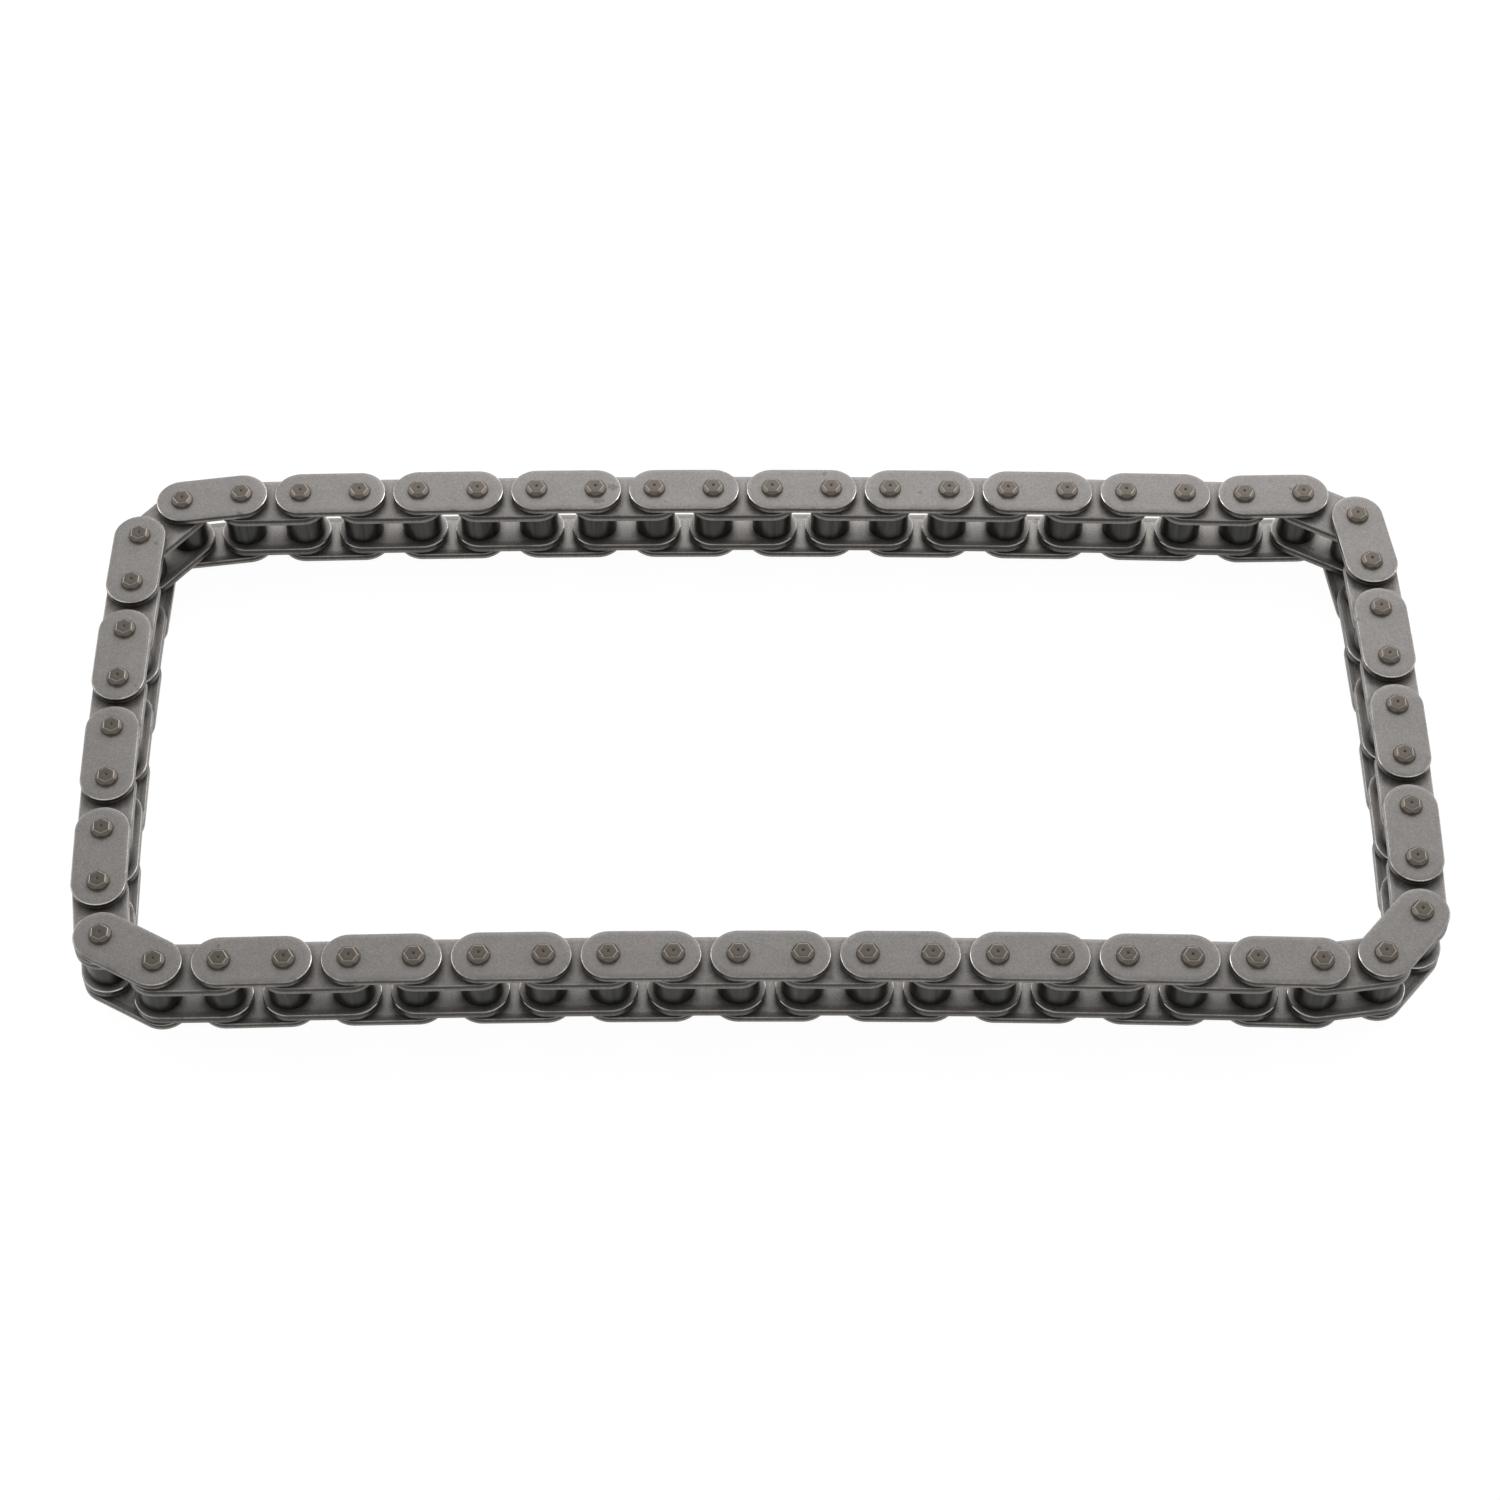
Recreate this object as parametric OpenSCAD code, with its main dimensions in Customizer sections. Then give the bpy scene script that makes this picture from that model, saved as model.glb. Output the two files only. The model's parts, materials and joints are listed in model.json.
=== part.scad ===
// Endless single-strand roller timing chain with riveted pins, lying flat as a rounded rectangle.
// Outer links (two plates, two pins) and inner links (two plates, two bushes, two rollers) alternate.
// The origin is under the middle of the loop, on the plane of the lower pin ends; +X runs along it.

/* [Chain] */
// Distance between neighbouring pin centres
pitch = 9.525; // [9.4:0.005:12.7]
// Links in each long run that share its bow
run_links = 17; // [9:1:31]
// Links in each straight short side
side_links = 7; // [3:1:15]

/* [Lie of the loop] */
// Heading change from link to link along the bowed long runs, degrees
run_bow = 0.2; // [0:0.05:0.6]
// Heading of the first link of a long run, after its sharp corner, degrees
run_start = 8; // [0:1:15]
// Heading of the last link of a long run, degrees
run_end = 1; // [-3:0.5:3]
// Heading of the link across the wide corner, degrees
wide_corner = -29; // [-45:1:-15]
// Heading of the first link of a short side, degrees
side_start = -82; // [-90:1:-70]
// Mean heading of the links in a short side, degrees
side_heading = -89.5; // [-95:0.5:-85]
// Heading change from link to link along a short side, degrees
side_bow = 0.7; // [0:0.1:1.5]
// Heading of the link across the sharp corner, degrees
sharp_corner = -130; // [-145:1:-115]

/* [Plates] */
// Width of every plate across the chain, and diameter of its round ends
plate_w = 8.26; // [7:0.02:9]
// Thickness of an outer plate
outer_t = 1.25; // [0.8:0.05:1.6]
// Thickness of an inner plate
inner_t = 1.5; // [1:0.05:2]
// Bevel that tumbling leaves on the plates' edges
plate_edge = 0.15; // [0.05:0.01:0.3]

/* [Pins] */
// Diameter of a pin
pin_d = 3.31; // [2.8:0.01:3.6]
// How much wider a pin's spread end is than the pin
head_spread = 0.26; // [0.1:0.02:0.6]
// Height of a pin's end above the outer plate
head_h = 0.9; // [0.7:0.05:1.2]
// Width across the flats of the six-sided face on a pin's end
head_flats = 2.3; // [1.8:0.05:2.6]
// Diameter of the centre mark in a pin's end
mark_d = 0.5; // [0.3:0.05:0.8]
// Depth of the centre mark
mark_depth = 0.2; // [0.1:0.05:0.4]

/* [Bushes and rollers] */
// Clear width between the inner plates
inner_width = 6; // [4.8:0.02:7]
// Outer diameter of a bush
bush_d = 4.9; // [4.5:0.05:5.1]
// How far a bush's ends stand out of the inner plates
bush_proud = 0.4; // [0.2:0.05:0.6]
// Outer diameter of a roller
roller_d = 6.35; // [6:0.05:6.6]
// Bevel at a roller's ends
roller_edge = 0.2; // [0.1:0.05:0.4]

/* [Fits] */
// Gap between a bush's end and the outer plate
side_play = 0.1; // [0.05:0.01:0.3]
// Radial clearance of a pin in its bush
pin_play = 0.04; // [0.02:0.01:0.08]
// Radial clearance of a roller on its bush
roller_play = 0.05; // [0.03:0.01:0.1]
// Gap between a roller's end and the inner plate
roller_end_play = 0.1; // [0.05:0.01:0.3]
// Hair-line gap that keeps pressed pieces apart as solids
press_gap = 0.01; // [0.005:0.005:0.02]

/* [Hidden] */
$fn = 48;
// Distance that a cutter runs past the face it cuts
past = 1;

// Heights above the middle plane of the chain
inner_face = inner_width / 2;
inner_top = inner_face + inner_t;
bush_top = inner_top + bush_proud;
outer_face = bush_top + side_play;
outer_top = outer_face + outer_t;
head_top = outer_top + head_h;

// A half loop is a sharp-corner link, a bowed run, its end link, a wide-corner link and a short side
half_links = run_links + side_links + 5;
links = 2 * half_links;
run_mid = (run_links + 1) / 2;
side_first = run_links + 4;
side_mid = side_first + (side_links - 1) / 2;

// Heading of link i of a half loop; the two long runs bow the same way, so one is read backwards
function half_heading(i, way) =
    i == 0 ? run_start :
    i <= run_links ? way * run_bow * (run_mid - i) :
    i == run_links + 1 ? run_end :
    i == run_links + 2 ? wide_corner :
    i == run_links + 3 ? side_start :
    i == half_links - 1 ? sharp_corner :
    side_heading - side_bow * (i - side_mid);
function heading(i) = i < half_links ? half_heading(i, 1) : 180 + half_heading(i - half_links, -1);

// Pin centres, each one pitch along its link's heading; opposite links cancel, so the loop closes
walk = [for (i = 0, p = [0, 0]; i < links; p = p + pitch * [cos(heading(i)), sin(heading(i))], i = i + 1) p];
walk_x = [for (p = walk) p.x];
walk_y = [for (p = walk) p.y];
walk_mid = [min(walk_x) + max(walk_x), min(walk_y) + max(walk_y)] / 2;

// The inner link in the middle of the far run has its rollers in nodes of their own
open_link = round((run_links + 3) / 4);

function two_digits(n) = str(n < 10 ? "0" : "", n);
function outer_name(n) = str("outer_link_", two_digits(n));
function inner_name(n) = str("inner_link_", two_digits(n));
function roller_name(side) = str("roller_", two_digits(open_link), "_", side);

plate_color = [0.55, 0.54, 0.52];
pin_color = [0.45, 0.42, 0.38];
bush_color = [0.4, 0.4, 0.4];
roller_color = [0.2, 0.2, 0.21];

// Half outline, from the axis out, of a disc of radius r and height t with bevelled rims
function rim_profile(r, t, edge) = [[0, 0], [r - edge, 0], [r, edge], [r, t - edge], [r - edge, t], [0, t]];
// The same outline on both sides of the axis, for the straight middle of a plate
function bar_profile(r, t, edge) =
    let (rim = [for (p = rim_profile(r, t, edge)) if (p.x > 0) p], last = len(rim) - 1)
    concat(rim, [for (i = [last:-1:0]) [-rim[i].x, rim[i].y]]);

// Moves its children onto link i, whose first pin is at their origin and second along +X
module on_link(i) {
    translate([walk[i].x - walk_mid.x, walk[i].y - walk_mid.y, head_top]) rotate([0, 0, heading(i)]) children();
}

// Copies its children onto both ends of a link
module at_both_ends() {
    children();
    translate([pitch, 0, 0]) children();
}

// Copies its children above and below the middle plane
module on_both_sides() {
    children();
    mirror([0, 0, 1]) children();
}

// Straight-sided plate with round ends about two holes, its lower face at height z
module link_plate(z, t, hole_d) {
    r = plate_w / 2;
    color(plate_color) translate([0, 0, z]) difference() {
        union() {
            at_both_ends() rotate_extrude() polygon(rim_profile(r, t, plate_edge));
            rotate([90, 0, 90]) linear_extrude(pitch) polygon(bar_profile(r, t, plate_edge));
        }
        at_both_ends() translate([0, 0, -past]) cylinder(d = hole_d, h = t + 2 * past);
    }
}

// Bar whose two long sides slope in at 45 degrees towards the pin's end
module sloping_pair(turn) {
    flat = head_flats / 2;
    foot = flat + head_h;
    rotate([90, 0, turn]) linear_extrude(2 * foot, center = true)
        polygon([[-foot, 0], [foot, 0], [flat, head_h], [-flat, head_h]]);
}

// Spread end of a pin: a round collar cut to six sloping flats, one pair of them along the link
module pin_head() {
    translate([0, 0, outer_top]) difference() {
        intersection() {
            translate([0, 0, press_gap]) cylinder(d = pin_d + head_spread, h = head_h);
            sloping_pair(30);
            sloping_pair(90);
            sloping_pair(150);
        }
        translate([0, 0, head_h]) rotate_extrude()
            polygon([[0, -mark_depth], [mark_d / 8, -mark_depth], [mark_d / 2, 0], [mark_d / 2, past], [0, past]]);
    }
}

// Riveted pin, upright on the origin; its shank ends inside the collars
module pin() {
    color(pin_color) union() {
        cylinder(d = pin_d, h = 2 * outer_top + head_h / 2, center = true);
        on_both_sides() pin_head();
    }
}

// Bush pressed into both inner plates
module bush() {
    color(bush_color) difference() {
        cylinder(d = bush_d, h = 2 * bush_top, center = true);
        cylinder(d = pin_d + 2 * pin_play, h = 2 * (bush_top + past), center = true);
    }
}

// Loose roller round a bush, with bevelled ends
module roller() {
    r = roller_d / 2;
    bore = bush_d / 2 + roller_play;
    half = inner_face - roller_end_play;
    color(roller_color) rotate_extrude()
        polygon([[bore, -half], [r - roller_edge, -half], [r, -half + roller_edge],
                 [r, half - roller_edge], [r - roller_edge, half], [bore, half]]);
}

// Two outer plates held by two riveted pins
module outer_link(n) {
    on_link(2 * n - 2) {
        on_both_sides() link_plate(outer_face, outer_t, pin_d + 2 * press_gap);
        at_both_ends() pin();
    }
}

// Two inner plates held by two bushes; every link but one carries its rollers
module inner_link(n) {
    on_link(2 * n - 1) {
        on_both_sides() link_plate(inner_face, inner_t, bush_d + 2 * press_gap);
        at_both_ends() bush();
        if (n != open_link) at_both_ends() roller();
    }
}

// One of the two rollers that stand as nodes of their own
module free_roller(end) {
    on_link(2 * open_link - 1) translate([end * pitch, 0, 0]) roller();
}

for (n = [1:half_links]) {
    outer_link(n);
    inner_link(n);
}
free_roller(0);
free_roller(1);
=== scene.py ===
"""Scene of an endless single-strand roller timing chain with riveted pins, lying flat as a rounded rectangle.

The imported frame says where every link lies. Each link is modelled in axes of its own, with its first pivot
at the origin, its second along +X and +Z along the pins, and is then laid at its place in the loop. All
lengths are in metres.
"""

import json
import logging
import math
from collections.abc import Sequence
from dataclasses import dataclass
from enum import Enum
from functools import cached_property

import bmesh
import bpy
import numpy as np
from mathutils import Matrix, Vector

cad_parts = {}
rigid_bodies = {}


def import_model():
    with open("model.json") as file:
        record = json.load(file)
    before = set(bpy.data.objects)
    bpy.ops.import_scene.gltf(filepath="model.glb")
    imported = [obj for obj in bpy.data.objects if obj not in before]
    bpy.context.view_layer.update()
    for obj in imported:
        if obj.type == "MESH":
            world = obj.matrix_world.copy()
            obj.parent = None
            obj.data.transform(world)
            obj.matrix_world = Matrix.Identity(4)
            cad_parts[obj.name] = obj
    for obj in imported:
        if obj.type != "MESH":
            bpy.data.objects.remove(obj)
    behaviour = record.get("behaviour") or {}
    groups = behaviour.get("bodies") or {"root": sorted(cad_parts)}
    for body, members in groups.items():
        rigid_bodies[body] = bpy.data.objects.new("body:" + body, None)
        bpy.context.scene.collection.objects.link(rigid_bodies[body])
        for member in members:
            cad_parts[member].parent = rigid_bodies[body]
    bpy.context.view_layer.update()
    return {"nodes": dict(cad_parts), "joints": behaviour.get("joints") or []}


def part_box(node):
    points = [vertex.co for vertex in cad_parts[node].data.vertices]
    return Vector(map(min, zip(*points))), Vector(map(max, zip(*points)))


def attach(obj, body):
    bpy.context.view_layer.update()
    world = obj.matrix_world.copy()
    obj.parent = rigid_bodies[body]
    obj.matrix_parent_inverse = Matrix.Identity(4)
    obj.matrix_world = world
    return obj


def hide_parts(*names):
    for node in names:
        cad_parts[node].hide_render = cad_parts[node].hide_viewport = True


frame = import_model()
MM = 0.001
# Points that lie nearer together than this are one
WELD = 1e-8
# An edge that turns by more than this stays sharp
SHARP_TURN = math.radians(50.0)
LOG = logging.getLogger("timing_chain")

Colour = tuple[float, float, float]
Span = tuple[float, float]


def linear(red: float, green: float, blue: float) -> Colour:
    """Turns a colour seen on a screen into scene light.

    Args:
        red: Red from 0 to 255, and green and blue alike.
        green: Green.
        blue: Blue.

    Returns:
        The colour with each part raised by the screen's curve, ((c / 255 + 0.055) / 1.055) to the power 2.4,
        or c / 255 / 12.92 where it is nearly black.
    """
    parts = (red / 255.0, green / 255.0, blue / 255.0)
    return tuple(p / 12.92 if p <= 0.04045 else ((p + 0.055) / 1.055) ** 2.4 for p in parts)


class Mark(Enum):
    """Where a point lies on its piece, kept as vertex attributes that the finishes read."""

    RIM = "rim"
    SIDE = "side"
    LIP = "lip"
    SEAM = "seam"
    INSIDE = "inside"
    # Painted contact shade near the holes
    COVER = "cover"


@dataclass(frozen=True)
class Pattern:
    """A closed mesh in a link's own axes, ready to be laid at every link that has one."""

    points: np.ndarray
    faces: list[tuple[int, ...]]
    marks: dict[Mark, np.ndarray]

    def laid(self, name: str, seat: "Seat", material: bpy.types.Material) -> bpy.types.Object:
        """Makes the piece at a link's place.

        Args:
            name: The piece's name.
            seat: Where the link lies.
            material: The piece's finish.

        Returns:
            The new object, at the origin, with its place in its mesh.
        """
        mesh = bpy.data.meshes.new(name)
        mesh.from_pydata(seat.lay(self.points), [], self.faces)
        for mark, values in self.marks.items():
            attribute = mesh.attributes.new(mark.value, "FLOAT", "POINT")
            attribute.data.foreach_set("value", values.astype(np.float32))
        mesh.polygons.foreach_set("use_smooth", np.ones(len(mesh.polygons), bool))
        mesh.set_sharp_from_angle(angle=SHARP_TURN)
        mesh.materials.append(material)
        piece = bpy.data.objects.new(name, mesh)
        bpy.context.scene.collection.objects.link(piece)
        return piece


class Skin:
    """Grids of points that are joined into one closed mesh."""

    def __init__(self) -> None:
        """Starts with nothing gathered."""
        self._points: list[np.ndarray] = []
        self._quads: list[np.ndarray] = []
        self._marks: dict[Mark, list[np.ndarray]] = {mark: [] for mark in Mark}
        self._count = 0

    def add(self, grid: np.ndarray, marks: dict[Mark, np.ndarray] | None = None) -> None:
        """Adds a grid of points, whose last column meets its first where the points coincide.

        Args:
            grid: Points by row, column and axis.
            marks: For any mark, a value for each row, or for each row and column. The others are 0.
        """
        rows, columns = grid.shape[:2]
        index = self._count + np.arange(rows * columns).reshape(rows, columns)
        corners = (index[:-1, :-1], index[1:, :-1], index[1:, 1:], index[:-1, 1:])
        self._quads.append(np.stack(corners, -1).reshape(-1, 4))
        self._points.append(grid.reshape(-1, 3))
        for mark, values in self._marks.items():
            given = (marks or {}).get(mark, np.zeros(rows))
            spread = given[:, None] if given.ndim == 1 else given
            values.append(np.broadcast_to(spread, (rows, columns)).reshape(-1))
        self._count += rows * columns

    def pattern(self) -> Pattern:
        """Joins the grids where their points coincide and turns every face outwards.

        Returns:
            The closed mesh, in a link's own axes.
        """
        points = np.concatenate(self._points)
        snapped = np.round(points / WELD).astype(np.int64)
        _, first, place = np.unique(snapped, axis=0, return_index=True, return_inverse=True)
        quads = place.reshape(-1)[np.concatenate(self._quads)]
        work = bmesh.new()
        corners = [work.verts.new(p) for p in points[first]]
        for quad in quads.tolist():
            loop = list(dict.fromkeys(quad))
            if len(loop) > 2:
                work.faces.new([corners[i] for i in loop])
        bmesh.ops.recalc_face_normals(work, faces=work.faces)
        work.verts.index_update()
        faces = [tuple(v.index for v in face.verts) for face in work.faces]
        work.free()
        marks = {mark: np.concatenate(values)[first] for mark, values in self._marks.items()}
        return Pattern(points[first], faces, marks)


def circle(count: int, start: float = 0.0) -> np.ndarray:
    """Walks once round a circle in even steps.

    Args:
        count: Number of steps.
        start: Angle of the first one.

    Returns:
        The cosine and sine of each step's angle, with the first one again at the end.
    """
    angle = start + np.linspace(0.0, 2.0 * np.pi, count + 1)
    angle[-1] = start
    return np.stack([np.cos(angle), np.sin(angle)], -1)


def rounded(corners: np.ndarray, reach: Sequence[Span], steps: int = 4) -> np.ndarray:
    """Rounds the corners of a profile.

    Each inner corner P is replaced by the curve (1 - t)^2 A + 2 t (1 - t) P + t^2 B, where A and B lie the
    corner's two reaches back and forth along its two sides. A corner with no reach stays, and so do the ends.

    Args:
        corners: Corner points, by corner, column and coordinate. There may be one column or many.
        reach: The reach back and the reach forth at each inner corner.
        steps: Steps along each curve.

    Returns:
        Points by row, column and coordinate.
    """
    share = np.linspace(0.0, 1.0, steps + 1)[:, None, None]
    rows = [corners[:1]]
    for before, corner, after, (near, far) in zip(corners, corners[1:], corners[2:], reach):
        if near == far == 0.0:
            rows.append(corner[None])
            continue
        back = before - corner
        onward = after - corner
        start = corner + back / np.linalg.norm(back, axis=-1, keepdims=True) * near
        end = corner + onward / np.linalg.norm(onward, axis=-1, keepdims=True) * far
        rows.append((1 - share) ** 2 * start + 2 * share * (1 - share) * corner + share**2 * end)
    rows.append(corners[-1:])
    return np.concatenate(rows)


def turned(profile: np.ndarray, around: np.ndarray, centre: float) -> np.ndarray:
    """Turns a profile about an upright axis: x = centre + r cos a, y = r sin a, z = h.

    Args:
        profile: Radius and height, by row, column and coordinate. One column is used all round.
        around: The cosine and sine of each column's angle.
        centre: The axis's place along the link.

    Returns:
        Points by row, column and axis.
    """
    flat = profile[..., :1] * around
    height = np.broadcast_to(profile[..., 1:], flat.shape[:2] + (1,))
    return np.concatenate([flat + (centre, 0.0), height], -1)


@dataclass(frozen=True)
class Seat:
    """Where a link lies in the loop."""

    name: str
    first: np.ndarray
    second: np.ndarray

    def lay(self, points: np.ndarray) -> np.ndarray:
        """Turns points from the link's own axes to its heading, and moves them to its first pivot.

        Args:
            points: Points by row and axis.

        Returns:
            The points at the link's place: first + x along + y across + z up.
        """
        along = (self.second - self.first) / np.linalg.norm(self.second - self.first)
        across = np.array([-along[1], along[0], 0.0])
        return self.first + points @ np.array([along, across, (0.0, 0.0, 1.0)])


@dataclass(frozen=True)
class Loop:
    """The loop of links, read from the frame."""

    outer_prefix: str = "outer_link_"
    inner_prefix: str = "inner_link_"

    def names(self) -> list[str]:
        """Lists the links.

        Returns:
            Their names in order round the loop, outer and inner by turns.
        """
        outer = sorted(n for n in frame["nodes"] if n.startswith(self.outer_prefix))
        inner = sorted(n for n in frame["nodes"] if n.startswith(self.inner_prefix))
        return [name for pair in zip(outer, inner) for name in pair]

    def seats(self) -> list[Seat]:
        """Finds where every link lies.

        A link's pivots are where its joints to the links before and after it turn. At the pivot that has no
        joint, the missing end is the other one mirrored through the middle of the link's box.

        Returns:
            One seat for each link, in order round the loop.
        """
        pivots = {frozenset((j["parent"], j["child"])): np.array(j["pos_m"]) for j in frame["joints"]}
        names = self.names()
        seats = []
        for before, name, after in zip(names[-1:] + names, names, names[1:] + names[:1]):
            low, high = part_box(name)
            twice_middle = np.array(low) + np.array(high)
            first = pivots.get(frozenset((before, name)))
            second = pivots.get(frozenset((name, after)))
            if first is None:
                first = twice_middle - second
            if second is None:
                second = twice_middle - first
            seats.append(Seat(name, first, second))
        return seats


@dataclass(frozen=True)
class Sizes:
    """The chain's sizes, as its maker would list them."""

    pitch: float = 9.525 * MM
    plate_width: float = 8.26 * MM
    outer_thickness: float = 1.25 * MM
    inner_thickness: float = 1.5 * MM
    inner_width: float = 6.0 * MM
    bush_diameter: float = 4.9 * MM
    bush_proud: float = 0.4 * MM
    bush_edge: float = 0.12 * MM
    side_play: float = 0.1 * MM
    pin_diameter: float = 3.31 * MM
    pin_play: float = 0.04 * MM
    press_gap: float = 0.01 * MM
    head_spread: float = 0.26 * MM
    head_height: float = 0.9 * MM
    head_flats: float = 2.3 * MM
    mark_diameter: float = 0.5 * MM
    mark_depth: float = 0.2 * MM
    roller_diameter: float = 6.35 * MM
    roller_play: float = 0.05 * MM
    roller_end_play: float = 0.1 * MM
    roller_edge: float = 0.2 * MM

    @property
    def inner_face(self) -> float:
        """Height of an inner plate's inside face above the middle plane."""
        return self.inner_width / 2

    @property
    def bush_top(self) -> float:
        """Height of a bush's end."""
        return self.inner_face + self.inner_thickness + self.bush_proud

    @property
    def outer_face(self) -> float:
        """Height of an outer plate's inside face."""
        return self.bush_top + self.side_play

    @property
    def outer_top(self) -> float:
        """Height of an outer plate's outside face."""
        return self.outer_face + self.outer_thickness


@dataclass(frozen=True)
class Plate:
    """A straight-sided plate with round ends about two holes, in a pair above and below the middle plane."""

    sizes: Sizes
    # Height of the inside face above the middle plane
    face: float
    thickness: float
    hole: float
    # Radii about a hole between which the painted contact shade fades out, on the outside face and the inside
    # one
    contact_shade_radii: tuple[Span, Span]
    # How far in and how far down the punch rolls the upper edge over
    roll: Span = (0.6 * MM, 0.06 * MM)
    bevel: float = 0.13 * MM
    # Roundings where the roll begins, at the bevel, and in and up at the lower edge
    ease_in: float = 0.3 * MM
    fillet: float = 0.05 * MM
    burr: Span = (0.12 * MM, 0.14 * MM)
    # Shares of the thickness: sheared above the tear, and blended on either side of it
    shear: float = 0.56
    tear_blend: float = 0.05
    # Strength of the painted highlight on the straight rims, where that on the round ends is 1
    straight_highlight: float = 0.45
    # Width of the face's band that follows the edge
    border: float = 1.0 * MM
    end_steps: int = 28
    side_steps: int = 6
    seam_steps: int = 8
    # Shares of the way from the hole to the border at which a face has points
    ease: tuple[float, ...] = (0.0, 0.04, 0.3, 0.7, 0.97, 1.0)

    def outline(self) -> tuple[np.ndarray, np.ndarray]:
        """Walks round the plate.

        Returns:
            For each step, the nearest point on the line between the two holes and the way straight out from
            it: half a circle about each hole, joined by the two straight sides. The last step is the first.
        """
        turn = np.linspace(0.5, 1.5, self.end_steps + 1) * np.pi
        way = np.stack([np.cos(turn), np.sin(turn)], -1)
        run = np.linspace(0.0, self.sizes.pitch, self.side_steps + 1)[1:-1]
        still = np.zeros_like(run)
        near = np.concatenate([np.zeros((len(way), 2)), np.stack([run, still], -1)])
        out = np.concatenate([way, np.stack([still, still - 1.0], -1)])
        near = np.concatenate([near, (self.sizes.pitch, 0.0) - near, near[:1]])
        return near, np.concatenate([out, -out, out[:1]])

    def half_border(self) -> np.ndarray:
        """Walks round the half of a face's border about the first hole.

        Returns:
            Points from the middle of one straight side round the end to the other, and back up the middle.
        """
        near, out = self.outline()
        radius = self.sizes.plate_width / 2 - self.border
        middle = self.sizes.pitch / 2
        edge = (near + radius * out)[:-1]
        left = np.roll(edge, self.side_steps // 2, axis=0)[: self.end_steps + self.side_steps + 1]
        seam = np.linspace(-radius, radius, self.seam_steps + 1)[1:]
        return np.concatenate([left, np.stack([np.full_like(seam, middle), seam], -1)])

    def edge_profile(self, low: float, tear: float) -> np.ndarray:
        """Draws the plate's edge.

        It is rolled over by the punch at its upper side and bevelled by tumbling, sheared straight down, torn
        below that, and slightly rounded at its lower side.

        Args:
            low: Height of the plate's lower face.
            tear: Height below which the metal is torn.

        Returns:
            Radius and height of each row, from the upper face's border to the lower face's.
        """
        radius = self.sizes.plate_width / 2
        high = low + self.thickness
        inset = radius - self.border
        blend = self.tear_blend * self.thickness
        shoulder = high - self.roll[1]
        corners = [
            (inset, high),
            (radius - self.roll[0], high),
            (radius - self.bevel, shoulder),
            (radius, shoulder - self.bevel),
            (radius, tear + blend),
            (radius, tear - blend),
            (radius, low),
            (inset, low),
        ]
        reach = [(size, size) for size in (self.ease_in, self.fillet, self.fillet, 0.0, 0.0)] + [self.burr]
        return rounded(np.array(corners)[:, None], reach)[:, 0]

    def pair(self) -> Pattern:
        """Builds the upper and the lower plate.

        The edge is its profile carried along the outline. Each half of a flat face is spread between its hole
        and the border: hole + (border - hole) t. The hole's wall runs straight down.

        Returns:
            The two plates as one pattern.
        """
        skin = Skin()
        near, out = self.outline()
        border = self.half_border()
        hole = border / np.linalg.norm(border, axis=-1, keepdims=True) * self.hole / 2
        spread = hole + (border - hole) * np.array(self.ease)[:, None, None]
        wall = np.broadcast_to(hole, (2,) + hole.shape)
        for low in (self.face, -self.face - self.thickness):
            high = low + self.thickness
            tear = high - self.shear * self.thickness
            profile = self.edge_profile(low, tear)
            flat = near + profile[:, None, :1] * out
            height = np.broadcast_to(profile[:, None, 1:], flat.shape[:2] + (1,))
            skin.add(np.concatenate([flat, height], -1), self.edge_marks(profile, out, tear))
            for level in (high, low):
                inside = np.full(len(spread), float(abs(level) < self.face + self.thickness / 2))
                self.add_both_halves(skin, spread, np.full(spread.shape[:2] + (1,), level), inside)
            levels = np.broadcast_to(np.array([high, low])[:, None, None], wall.shape[:2] + (1,))
            self.add_both_halves(skin, wall, levels, np.zeros(2))
        pattern = skin.pattern()
        # Painted contact shade near the holes
        pattern.marks[Mark.COVER] = self.covered(pattern.points)
        return pattern

    def covered(self, points: np.ndarray) -> np.ndarray:
        """Finds where a film of oil is kept by the round ends and rollers that lie on the plate.

        Args:
            points: Points by row and axis.

        Returns:
            For each point, 1 near a hole and 0 far from both. Between the two shade radii of the point's side
            it is t^2 (3 - 2 t), where t falls from 1 to 0 with the distance.
        """
        ends = np.array([(0.0, 0.0), (self.sizes.pitch, 0.0)])
        nearest = np.linalg.norm(points[:, None, :2] - ends, axis=-1).min(axis=1)
        outside = np.abs(points[:, 2]) > self.face + self.thickness / 2
        near, far = np.where(outside, *np.array(self.contact_shade_radii)[:, :, None])
        share = np.clip((far - nearest) / (far - near), 0.0, 1.0)
        return share**2 * (3.0 - 2.0 * share)

    def edge_marks(self, profile: np.ndarray, out: np.ndarray, tear: float) -> dict[Mark, np.ndarray]:
        """Marks the rows of the plate's edge by their slope (c, s), the cosine and sine from flat.

        Args:
            profile: Radius and height of each row.
            out: The way straight out at each column.
            tear: Height below which the metal is torn.

        Returns:
            The side is s^2, and the lip is its part below the tear. Above the tear the rim, which carries a
            painted highlight, is (2 c s)^2, 1 where the edge slopes at 45 degrees, times w + (1 - w) |x|,
            where w is the painted highlight's strength on the straight rims and x is how far the way out
            points along the link.
        """
        step = np.gradient(profile, axis=0)
        slope = (step / np.linalg.norm(step, axis=1, keepdims=True)) ** 2
        side = slope[:, 1]
        # The painted highlight is weaker along the straights than round the ends
        highlight_share = self.straight_highlight + (1.0 - self.straight_highlight) * np.abs(out[:, 0])
        return {
            Mark.RIM: np.outer(4.0 * slope[:, 0] * side * (profile[:, 1] > tear), highlight_share),
            Mark.SIDE: side,
            Mark.LIP: side * (profile[:, 1] < tear),
        }

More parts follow.
